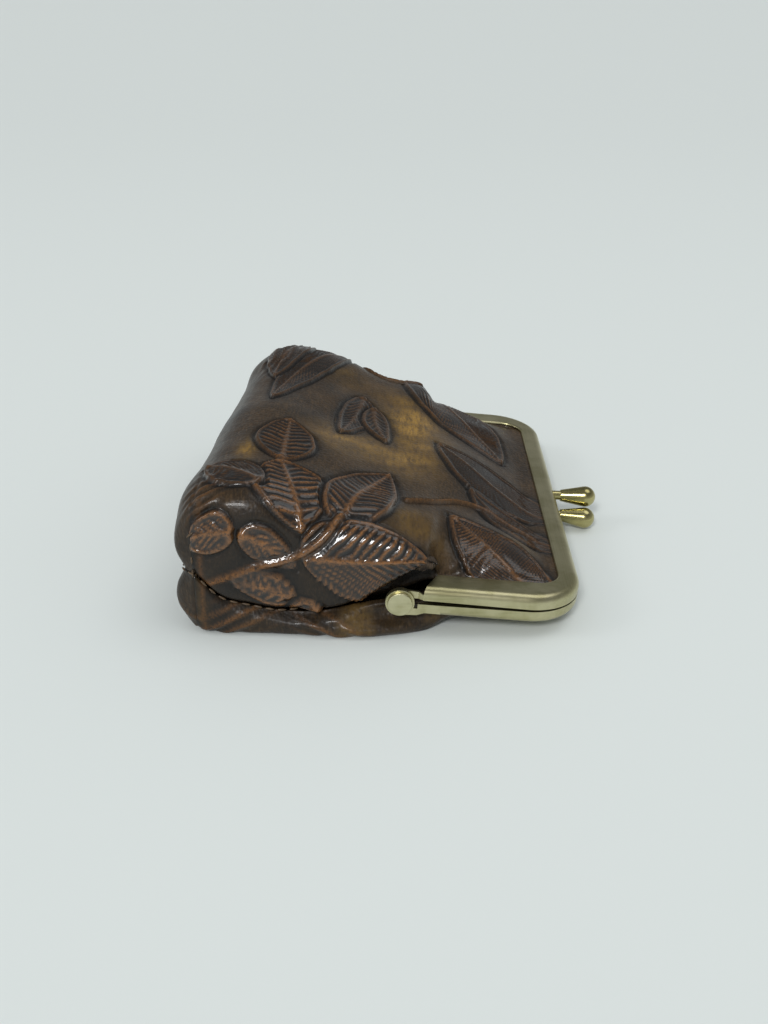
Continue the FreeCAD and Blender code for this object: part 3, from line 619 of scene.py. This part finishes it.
def leather_panel(name, nets, relief_of, side):
    """A leather panel with its relief. side is 1 for the front panel, -1 for the back panel."""
    settings = bpy.context.scene.purse_leather
    skin = Skin(*nets, settings.spacing / MM, 4)
    (body_s, body_t), (base_s, base_t) = skin.pattern()
    skin.body, skin.base = skew(skin.body), skew(skin.base)
    masks = {key: [] for key in MASKS}
    outer, inner = [], []
    for grid, s, t in ((skin.body, body_s, body_t), (skin.base, base_s, base_t)):
        normal = side * normals_of(grid)
        relief, slump, gold = relief_of(s, t)
        tucked = ease((LIP_X - 1.0 - s) / 3.0)
        from_edge = np.abs(t[:, -1:]) - np.abs(t)
        if grid is skin.body:
            tucked = tucked * ease((from_edge - 1.0) / 3.5)
            tucked = tucked * ease((s - CORNER_X + 0.2 + 4 * (from_edge > 28)) / 1.6)
        else:
            tucked = tucked * ease((from_edge - 0.2) / 2.0)
        smooth_height = slump * tucked
        height = smooth_height + relief.height * tucked * settings.relief
        moved = grid + normal * height[..., None]
        moved[..., 2] = np.maximum(moved[..., 2], 0.0)
        deep = grid + normal * (smooth_height[..., None] - settings.thickness / MM)
        outer.append(moved)
        inner.append(deep[::4, ::4])
        if grid is skin.body:
            upright = ease((np.abs(t) - 44.0) / 6.0)
            seam = upright * np.exp(-((s - CORNER_X) / 1.1) ** 2)
            beside = 0.3 * upright * np.exp(-((s - CORNER_X - 1.7) / 0.5) ** 2)
            relief.dark = np.maximum(relief.dark, seam)
            relief.ridge = np.maximum(relief.ridge, beside)
        for key, values in zip(MASKS, (relief.ridge, relief.dark, relief.leaf, gold)):
            masks[key].append(values)
    outer[1][-1] = outer[0][0, skin.first:skin.last + 1]
    piece = shell_mesh(name, skin, *outer, *inner)
    for key, (body, base) in masks.items():
        write_attribute(piece, key, np.concatenate([body.ravel(), base[:-1].ravel()]))
    return piece, skin


def lining_panel(name, nets, side):
    """The lining of a panel, a thinner closed sheet inside it."""
    lining = bpy.context.scene.purse_lining
    leather = bpy.context.scene.purse_leather
    skin = Skin(*nets, LINING_SPACING, 2)
    skin.body, skin.base = skew(skin.body), skew(skin.base)
    near = (leather.thickness + lining.gap) / MM
    far = near + lining.thickness / MM
    grids = []
    for depth, step in ((near, 1), (far, 2)):
        for grid in (skin.body, skin.base):
            grids.append((grid - side * normals_of(grid) * depth)[::step, ::step])
    grids[1][-1] = grids[0][0, skin.first:skin.last + 1]
    return shell_mesh(name, skin, *grids)


def scaled(base, *factors):
    """A colour with its channels multiplied by one factor or by three."""
    factors = factors * 3 if len(factors) == 1 else factors
    return tuple(min(1.0, c * f) for c, f in zip(base[:3], factors)) + (1.0,)


# ---- node helpers ---------------------------------------------------------------------------------
class Tree:
    """Short calls for a node tree."""

    def __init__(self, tree):
        self.tree = tree

    def node(self, kind, inputs=None, **settings):
        made = self.tree.nodes.new(kind)
        for key, value in settings.items():
            setattr(made, key, value)
        for key, value in (inputs or {}).items():
            if isinstance(value, bpy.types.NodeSocket):
                self.tree.links.new(value, made.inputs[key])
            else:
                made.inputs[key].default_value = value
        return made

    def math(self, operation, a, b=0.0, clamp=False):
        made = self.node("ShaderNodeMath", {0: a, 1: b}, operation=operation, use_clamp=clamp)
        return made.outputs[0]

    def mix(self, factor, a, b):
        made = self.node("ShaderNodeMix", {0: factor, 6: a, 7: b}, data_type="RGBA")
        return made.outputs[2]

    def ramp(self, value, low, high):
        made = self.node("ShaderNodeMapRange", {0: value, 1: low, 2: high},
                         interpolation_type="SMOOTHSTEP")
        return made.outputs[0]

    def noise(self, vector, scale, detail=3.0, roughness=0.5):
        made = self.node("ShaderNodeTexNoise", {"Vector": vector, "Scale": scale, "Detail": detail,
                                                "Roughness": roughness})
        return made.outputs["Fac"]

    def stretched(self, vector, scale, turn=(0.0, 0.0, 0.0)):
        made = self.node("ShaderNodeMapping", {"Vector": vector, "Scale": scale, "Rotation": turn})
        return made.outputs["Vector"]


def new_group(name, inputs, outputs):
    """A shader group with named sockets. Each socket is a name and a type."""
    group = bpy.data.node_groups.new(name, "ShaderNodeTree")
    for label, kind in inputs:
        group.interface.new_socket(name=label, in_out="INPUT", socket_type=kind)
    for label, kind in outputs:
        group.interface.new_socket(name=label, in_out="OUTPUT", socket_type=kind)
    tree = Tree(group)
    return group, tree, tree.node("NodeGroupInput"), tree.node("NodeGroupOutput")


def new_material(name):
    material = bpy.data.materials.new(name)
    material.use_nodes = True
    material.node_tree.nodes.clear()
    tree = Tree(material.node_tree)
    shader = tree.node("ShaderNodeBsdfPrincipled")
    tree.node("ShaderNodeOutputMaterial", {"Surface": shader.outputs[0]})
    place = tree.node("ShaderNodeTexCoord").outputs["Object"]
    return material, tree, shader, place


FLOAT, VECTOR = "NodeSocketFloat", "NodeSocketVector"


def grain_group():
    """Fine pores and creases as a height from 0 to 1."""
    wanted = [("Place", VECTOR), ("Size", FLOAT), ("Creases", FLOAT)]
    group, tree, given, result = new_group("pores", wanted, [("Height", FLOAT)])
    place = given.outputs["Place"]
    scale = tree.math("DIVIDE", 1.0, given.outputs["Size"])
    cells = tree.node("ShaderNodeTexVoronoi", {"Vector": place, "Scale": scale}, feature="SMOOTH_F1")
    pores = tree.ramp(cells.outputs["Distance"], 0.05, 0.75)
    lines = tree.noise(place, tree.math("MULTIPLY", scale, 0.35), 5.0, 0.62)
    blend = tree.node("ShaderNodeMix", {0: given.outputs["Creases"], 2: pores, 3: lines})
    group.links.new(blend.outputs[0], result.inputs["Height"])


def brushed_group():
    """Brush lines that run along the arms and along the bar, and wear patches."""
    group, tree, given, result = new_group("brushed", [("Place", VECTOR), ("Bar starts", FLOAT)],
                                           [("Lines", FLOAT), ("Patches", FLOAT)])
    place = given.outputs["Place"]
    arm = tree.noise(tree.stretched(place, (90.0, 4200.0, 4200.0)), 1.0, 2.0)
    bar = tree.noise(tree.stretched(place, (4200.0, 90.0, 4200.0)), 1.0, 2.0)
    x = tree.node("ShaderNodeSeparateXYZ", {0: place}).outputs[0]
    at_bar = tree.ramp(tree.math("SUBTRACT", x, given.outputs["Bar starts"]), -0.003, 0.003)
    lines = tree.node("ShaderNodeMix", {0: at_bar, 2: arm, 3: bar})
    group.links.new(lines.outputs[0], result.inputs["Lines"])
    group.links.new(tree.noise(place, 130.0, 4.0, 0.6), result.inputs["Patches"])


def leather_material():
    """Hand-dyed embossed leather under a clear glaze."""
    settings = bpy.context.scene.purse_leather
    material, tree, shader, place = new_material("embossed_leather")
    mask = {key: tree.node("ShaderNodeAttribute", attribute_name=key).outputs["Fac"]
            for key in MASKS}
    mottle = tree.ramp(tree.noise(place, 95.0, 5.0, 0.6), 0.36, 0.66)
    streaks = tree.noise(tree.stretched(place, (900.0, 260.0, 900.0), (0, 0, 0.25)), 1.0, 3.0, 0.6)
    fleck = tree.noise(place, 1500.0, 3.0, 0.7)
    ground = tree.mix(mottle, scaled(settings.ground, 0.55), tuple(settings.ground))
    warm = tree.math("MULTIPLY", mask["gold"], tree.ramp(streaks, 0.15, 0.6))
    ground = tree.mix(warm, ground, tuple(settings.gold))
    hatch = tree.noise(tree.stretched(place, (2600.0, 420.0, 900.0), (0, 0, 0.1)), 1.0, 2.0, 0.6)
    tint = tree.math("MULTIPLY", tree.ramp(hatch, 0.40, 0.75), 0.6)
    ground = tree.mix(tint, ground, scaled(settings.ground, 2.1))
    body = tree.mix(tree.math("MULTIPLY", mask["leaf"], 0.85), ground, tuple(settings.leaf))
    # The dark mask carries the antique dye of grooves and halos, and on the front panel's near side also
    # painted shade; both take the groove colour.
    grooves = tree.math("MULTIPLY", mask["dark"], 0.93, clamp=True)
    body = tree.mix(grooves, body, tuple(settings.groove))
    worn = tree.math("MULTIPLY", mask["ridge"], tree.ramp(fleck, 0.25, 0.6))
    body = tree.mix(tree.math("MULTIPLY", worn, 0.9), body, tuple(settings.ridge))
    tree.tree.links.new(body, shader.inputs["Base Color"])
    rough = tree.math("ADD", tree.math("MULTIPLY", tree.noise(place, 420.0, 3.0), 0.22), 0.30)
    rough = tree.math("SUBTRACT", rough, tree.math("MULTIPLY", mask["leaf"], 0.10))
    tree.tree.links.new(rough, shader.inputs["Roughness"])
    grain = tree.node("ShaderNodeGroup", node_tree=bpy.data.node_groups["pores"])
    tree.tree.links.new(place, grain.inputs["Place"])
    grain.inputs["Size"].default_value = 0.0007
    grain.inputs["Creases"].default_value = 0.55
    bump = tree.node("ShaderNodeBump", {"Height": grain.outputs["Height"], "Strength": 0.5,
                                        "Distance": 0.00022})
    tree.tree.links.new(bump.outputs[0], shader.inputs["Normal"])
    shader.inputs["Specular IOR Level"].default_value = 0.3
    y = tree.node("ShaderNodeSeparateXYZ", {0: place}).outputs[1]
    near_side = tree.math("ADD", tree.math("MULTIPLY", tree.ramp(y, -0.030, -0.046), 0.5), 0.12)
    glaze = tree.math("ADD", tree.math("MULTIPLY", mask["leaf"], near_side), 0.10)
    tree.tree.links.new(glaze, shader.inputs["Coat Weight"])
    shader.inputs["Coat Roughness"].default_value = 0.10
    return material


def brass_material(name, base, rough, spread):
    """Brushed antique brass, darker in patches. spread is how far its lines vary the roughness."""
    material, tree, shader, place = new_material(name)
    brushed = tree.node("ShaderNodeGroup", node_tree=bpy.data.node_groups["brushed"])
    tree.tree.links.new(place, brushed.inputs["Place"])
    brushed.inputs["Bar starts"].default_value = (HINGE_X + LIP_X) * MM
    lines, worn = brushed.outputs["Lines"], brushed.outputs["Patches"]
    body = tree.mix(tree.ramp(worn, 0.35, 0.65), scaled(base, 0.72, 0.72, 0.62), tuple(base))
    body = tree.mix(tree.math("MULTIPLY", tree.ramp(lines, 0.3, 0.7), 0.22), body, scaled(base, 1.35))
    tree.tree.links.new(body, shader.inputs["Base Color"])
    shader.inputs["Metallic"].default_value = 1.0
    satin = tree.math("ADD", tree.math("MULTIPLY", lines, spread), rough)
    tree.tree.links.new(satin, shader.inputs["Roughness"])
    bump = tree.node("ShaderNodeBump", {"Height": lines, "Strength": 0.25, "Distance": 0.00004})
    tree.tree.links.new(bump.outputs[0], shader.inputs["Normal"])
    return material


def cloth_material():
    """Plain-woven lining cloth."""
    settings = bpy.context.scene.purse_lining
    material, tree, shader, place = new_material("lining_cloth")
    warp = tree.node("ShaderNodeTexWave", {"Vector": place, "Scale": 700.0, "Distortion": 0.6},
                     bands_direction="X")
    weft = tree.node("ShaderNodeTexWave", {"Vector": place, "Scale": 700.0, "Distortion": 0.6},
                     bands_direction="Y")
    weave = tree.math("MULTIPLY", warp.outputs["Fac"], weft.outputs["Fac"])
    worn = tree.ramp(tree.noise(place, 160.0), 0.3, 0.7)
    shade = tree.mix(worn, scaled(settings.cloth, 0.7), tuple(settings.cloth))
    shade = tree.mix(weave, shade, scaled(settings.cloth, 1.6))
    tree.tree.links.new(shade, shader.inputs["Base Color"])
    shader.inputs["Roughness"].default_value = 0.8
    bump = tree.node("ShaderNodeBump", {"Height": weave, "Strength": 0.6, "Distance": 0.0001})
    tree.tree.links.new(bump.outputs[0], shader.inputs["Normal"])
    return material


def fibre_material(name, base, rough):
    """Twisted fibre of the sewing thread or the paper cord."""
    material, tree, shader, place = new_material(name)
    twist = tree.noise(tree.stretched(place, (1500.0, 1500.0, 3200.0), (0.6, 0.5, 0.4)), 1.0, 2.0)
    shade = tree.mix(tree.ramp(twist, 0.3, 0.7), scaled(base, 0.55), tuple(base))
    tree.tree.links.new(shade, shader.inputs["Base Color"])
    shader.inputs["Roughness"].default_value = rough
    bump = tree.node("ShaderNodeBump", {"Height": twist, "Strength": 0.6, "Distance": 0.0001})
    tree.tree.links.new(bump.outputs[0], shader.inputs["Normal"])
    return material


# ---- stitches -------------------------------------------------------------------------------------
def stitch_tree(material):
    """Stitches laid along a curve at an even pitch."""
    group = bpy.data.node_groups.new("stitches", "GeometryNodeTree")
    sockets = {}
    wanted = (("Seam", "NodeSocketGeometry"), ("Pitch", FLOAT), ("Stitch", FLOAT), ("Thread", FLOAT))
    for label, kind in wanted:
        made = group.interface.new_socket(name=label, in_out="INPUT", socket_type=kind)
        sockets[label] = made.identifier
    group.interface.new_socket(name="Stitches", in_out="OUTPUT", socket_type="NodeSocketGeometry")
    tree = Tree(group)
    given, result = tree.node("NodeGroupInput"), tree.node("NodeGroupOutput")
    spots = tree.node("GeometryNodeCurveToPoints", {"Curve": given.outputs["Seam"],
                                                    "Length": given.outputs["Pitch"]}, mode="LENGTH")
    bead = tree.node("GeometryNodeMeshUVSphere", {"Segments": 8, "Rings": 6, "Radius": 0.5})
    size = tree.node("ShaderNodeCombineXYZ", {0: given.outputs["Thread"], 1: given.outputs["Thread"],
                                              2: given.outputs["Stitch"]})
    placed = tree.node("GeometryNodeInstanceOnPoints", {
        "Points": spots.outputs["Points"], "Instance": bead.outputs["Mesh"],
        "Rotation": spots.outputs["Rotation"], "Scale": size.outputs[0]})
    real = tree.node("GeometryNodeRealizeInstances", {"Geometry": placed.outputs[0]})
    done = tree.node("GeometryNodeSetMaterial", {"Geometry": real.outputs[0], "Material": material})
    group.links.new(done.outputs[0], result.inputs["Stitches"])
    return group, sockets


def sew(name, points, group, sockets, material):
    """A mesh of stitches along points of the row frame, in metres."""
    settings = bpy.context.scene.purse_stitches
    curve = bpy.data.curves.new(name + "_line", "CURVE")
    curve.dimensions = "3D"
    spline = curve.splines.new("POLY")
    spline.points.add(len(points) - 1)
    for point, place in zip(spline.points, points):
        point.co = (*place, 1.0)
    line = bpy.data.objects.new(name + "_line", curve)
    bpy.context.scene.collection.objects.link(line)
    modifier = line.modifiers.new("stitches", "NODES")
    modifier.node_group = group
    modifier[sockets["Pitch"]] = settings.pitch
    modifier[sockets["Stitch"]] = settings.stitch
    modifier[sockets["Thread"]] = settings.thread
    evaluated = line.evaluated_get(bpy.context.evaluated_depsgraph_get())
    mesh = bpy.data.meshes.new_from_object(evaluated)
    bpy.data.objects.remove(line)
    mesh.name = name
    mesh.materials.clear()
    mesh.materials.append(material)
    mesh.shade_smooth()
    piece = bpy.data.objects.new(name, mesh)
    bpy.context.scene.collection.objects.link(piece)
    return piece


# ---- operators --------------------------------------------------------------------------------------
MADE = {}                                             # materials and the front panel's skin


def bend_with_frame(piece):
    """Bakes the panel's transform into its mesh."""
    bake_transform(piece)


class PURSE_OT_finishes(bpy.types.Operator):
    """Makes the shared shader groups and the materials"""
    bl_idname = "purse.finishes"
    bl_label = "Finishes"

    def execute(self, context):
        scene = context.scene
        grain_group()
        brushed_group()
        MADE["leather"] = leather_material()
        MADE["cloth"] = cloth_material()
        MADE["thread"] = fibre_material("sewing_thread", scene.purse_stitches.colour, 0.45)
        MADE["paper"] = fibre_material("paper_cord", (0.45, 0.36, 0.24, 1.0), 0.85)
        MADE["brass"] = brass_material("antique_brass", scene.purse_brass.frame, 0.27, 0.12)
        MADE["rivet"] = brass_material("rivet_brass", scene.purse_brass.rivet, 0.36, 0.10)
        MADE["knob"] = brass_material("knob_brass", scene.purse_brass.knob, 0.17, 0.10)
        return {"FINISHED"}


class PURSE_OT_front_panel(bpy.types.Operator):
    """Makes the front leather panel, one piece from the base seam to the bar"""
    bl_idname = "purse.front_panel"
    bl_label = "Front panel"

    def execute(self, context):
        piece, MADE["front skin"] = leather_panel("leather_front", front_net(GRIPPED), front_relief, 1)
        piece.data.materials.append(MADE["leather"])
        bend_with_frame(piece)
        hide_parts("leather_front_pouch", "leather_front_fold", "leather_front_mouth")
        return {"FINISHED"}


class PURSE_OT_back_panel(bpy.types.Operator):
    """Makes the back leather panel, on which the purse lies"""
    bl_idname = "purse.back_panel"
    bl_label = "Back panel"

    def execute(self, context):
        piece = leather_panel("leather_back_panel", back_net(GRIPPED), back_relief, -1)[0]
        piece.data.materials.append(MADE["leather"])
        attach(piece, "back_half")
        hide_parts("leather_back")
        return {"FINISHED"}


class PURSE_OT_lining(bpy.types.Operator):
    """Makes the lining of both panels"""
    bl_idname = "purse.lining"
    bl_label = "Lining"

    def execute(self, context):
        front = lining_panel("lining_front", front_net(GRIPPED_LINING), 1)
        back = lining_panel("lining_back_panel", back_net(GRIPPED_LINING), -1)
        for piece in (front, back):
            piece.data.materials.append(MADE["cloth"])
        bend_with_frame(front)
        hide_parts("lining_front_pouch", "lining_front_fold", "lining_front_mouth")
        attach(back, "back_half")
        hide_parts("lining_back")
        return {"FINISHED"}


class PURSE_OT_stitches(bpy.types.Operator):
    """Sews the side seams, the base seam and the boxed corners"""
    bl_idname = "purse.stitches"
    bl_label = "Stitches"

    def execute(self, context):
        skin = MADE["front skin"]
        group, sockets = stitch_tree(MADE["thread"])
        seams = {"base_seam": (skin.base[0], (-0.5, 0.0))}
        for name, column, side in (("left", 0, -1), ("right", -1, 1)):
            edge = skin.body[:, column]
            sewn = edge[(edge[:, 0] > CORNER_X + 2.0) & (edge[:, 0] < -15.0)]
            seams["side_seam_" + name] = (sewn, (0.0, side * 0.75))
            upright = skin.base[:, column]
            seams["corner_seam_" + name] = (upright, (-0.1, side * 0.1))
        for name, (points, (dx, dy)) in seams.items():
            placed = (points + (HINGE_X + dx, dy, -0.1)) * MM
            piece = sew("stitches_" + name, placed.tolist(), group, sockets, MADE["thread"])
            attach(piece, "back_half")
            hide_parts(name)
        return {"FINISHED"}


class PURSE_OT_metal(bpy.types.Operator):
    """Gives the frame, the rivets, the knobs and the paper cords their finishes"""
    bl_idname = "purse.metal"
    bl_label = "Metal and cords"

    def execute(self, context):
        finishes = {"frame": "brass", "hinge": "rivet", "clasp": "knob", "paper": "paper"}
        for name, node in frame["nodes"].items():
            kind = finishes.get(name.split("_")[0])
            if kind:
                node.data.materials.clear()
                node.data.materials.append(MADE[kind])
        return {"FINISHED"}


class PURSE_OT_stage(bpy.types.Operator):
    """Sets the floor, the light and the camera"""
    bl_idname = "purse.stage"
    bl_label = "Stage"

    def execute(self, context):
        settings = context.scene.purse_stage
        make_floor(settings)
        make_lights(context.scene)
        make_camera(context.scene, settings)
        return {"FINISHED"}


def make_floor(settings):
    """A flat sheet, wide enough to fill every view, coloured with a painted falloff of light."""
    wide = 30.0
    points = [(x, y, 0.0) for y in (-wide, wide) for x in (-wide, wide)]
    mesh = bpy.data.meshes.new("floor")
    mesh.from_pydata(points, [], [(0, 1, 3, 2)])
    floor = bpy.data.objects.new("floor", mesh)
    bpy.context.scene.collection.objects.link(floor)
    material, tree, shader, place = new_material("pale_floor")
    depth = tree.node("ShaderNodeSeparateXYZ", {0: place}).outputs[1]
    # Painted light: the floor keeps its full colour in front of the purse and falls to 0.93 of it behind,
    # a painted falloff of light.
    shade = tree.mix(tree.ramp(depth, -0.15, 0.7), tuple(settings.floor), scaled(settings.floor, 0.93))
    tree.tree.links.new(shade, shader.inputs["Base Color"])
    shader.inputs["Roughness"].default_value = 0.7
    shader.inputs["Specular IOR Level"].default_value = 0.2
    mesh.materials.append(material)


def make_lights(scene):
    """An even pale room, darker in reflections, a broad key light from the front, a softer one from above
    and a weak one from the side.
    """
    world = bpy.data.worlds.new("studio")
    scene.world = world
    world.use_nodes = True
    tree = Tree(world.node_tree)
    paths = tree.node("ShaderNodeLightPath")
    up = tree.node("ShaderNodeSeparateXYZ", {0: tree.node("ShaderNodeTexCoord").outputs["Generated"]})
    seen = tree.mix(tree.ramp(up.outputs[2], 0.0, 0.6), (0.42, 0.43, 0.43, 1.0), (0.17, 0.175, 0.18, 1.0))
    room = tree.mix(paths.outputs["Is Glossy Ray"], (0.50, 0.52, 0.53, 1.0), seen)
    room = tree.mix(paths.outputs["Is Camera Ray"], room, (0.62, 0.67, 0.65, 1.0))
    world.node_tree.links.new(room, world.node_tree.nodes["Background"].inputs[0])
    lights = (("key", (-0.22, -0.75, 0.62), 0.2, 1.45), ("top", (0.35, 0.05, 0.9), 0.7, 0.5),
              ("side", (-0.8, -0.1, 0.5), 0.3, 0.3))
    for name, place, size, power in lights:
        lamp = bpy.data.lights.new(name, "SUN")
        lamp.angle, lamp.energy = size, power
        made = bpy.data.objects.new(name, lamp)
        scene.collection.objects.link(made)
        made.rotation_euler = Vector((-place[0], -place[1], -place[2])).to_track_quat("-Z", "Y").to_euler()


def make_camera(scene, settings):
    camera = bpy.data.cameras.new("camera")
    camera.lens, camera.sensor_width = settings.lens, 36.0
    camera.clip_start = 0.01
    made = bpy.data.objects.new("camera", camera)
    scene.collection.objects.link(made)
    made.location = (-0.00482, -settings.distance, settings.height)
    made.rotation_euler = (math.pi / 2 - settings.tilt, 0.0, math.radians(0.07))
    scene.camera = made


class PURSE_PT_panel(bpy.types.Panel):
    """Lists the purse's sizes, colours and steps"""
    bl_label = "Coin purse"
    bl_idname = "PURSE_PT_panel"
    bl_space_type = "VIEW_3D"
    bl_region_type = "UI"
    bl_category = "Purse"

    def draw(self, context):
        for name in SETTINGS:
            box = self.layout.box()
            box.label(text=SETTINGS[name].__doc__)
            group = getattr(context.scene, name)
            for key in SETTINGS[name].__annotations__:
                box.prop(group, key)
        for step in STEPS:
            self.layout.operator(step.bl_idname)


SETTINGS = {"purse_leather": PurseLeather, "purse_lining": PurseLining, "purse_brass": PurseBrass,
            "purse_stitches": PurseStitches, "purse_stage": PurseStage}
STEPS = (PURSE_OT_stage, PURSE_OT_finishes, PURSE_OT_front_panel, PURSE_OT_back_panel, PURSE_OT_lining,
         PURSE_OT_stitches, PURSE_OT_metal)


def register():
    for name, group in SETTINGS.items():
        bpy.utils.register_class(group)
        setattr(bpy.types.Scene, name, bpy.props.PointerProperty(type=group))
    for step in (*STEPS, PURSE_PT_panel):
        bpy.utils.register_class(step)


def unregister():
    for step in (PURSE_PT_panel, *reversed(STEPS)):
        bpy.utils.unregister_class(step)
    for name, group in SETTINGS.items():
        delattr(bpy.types.Scene, name)
        bpy.utils.unregister_class(group)


def main():
    register()
    bpy.context.scene.view_settings.view_transform = "Standard"
    for step in STEPS:
        area, action = step.bl_idname.split(".")
        getattr(getattr(bpy.ops, area), action)()


if __name__ == "__main__":
    main()
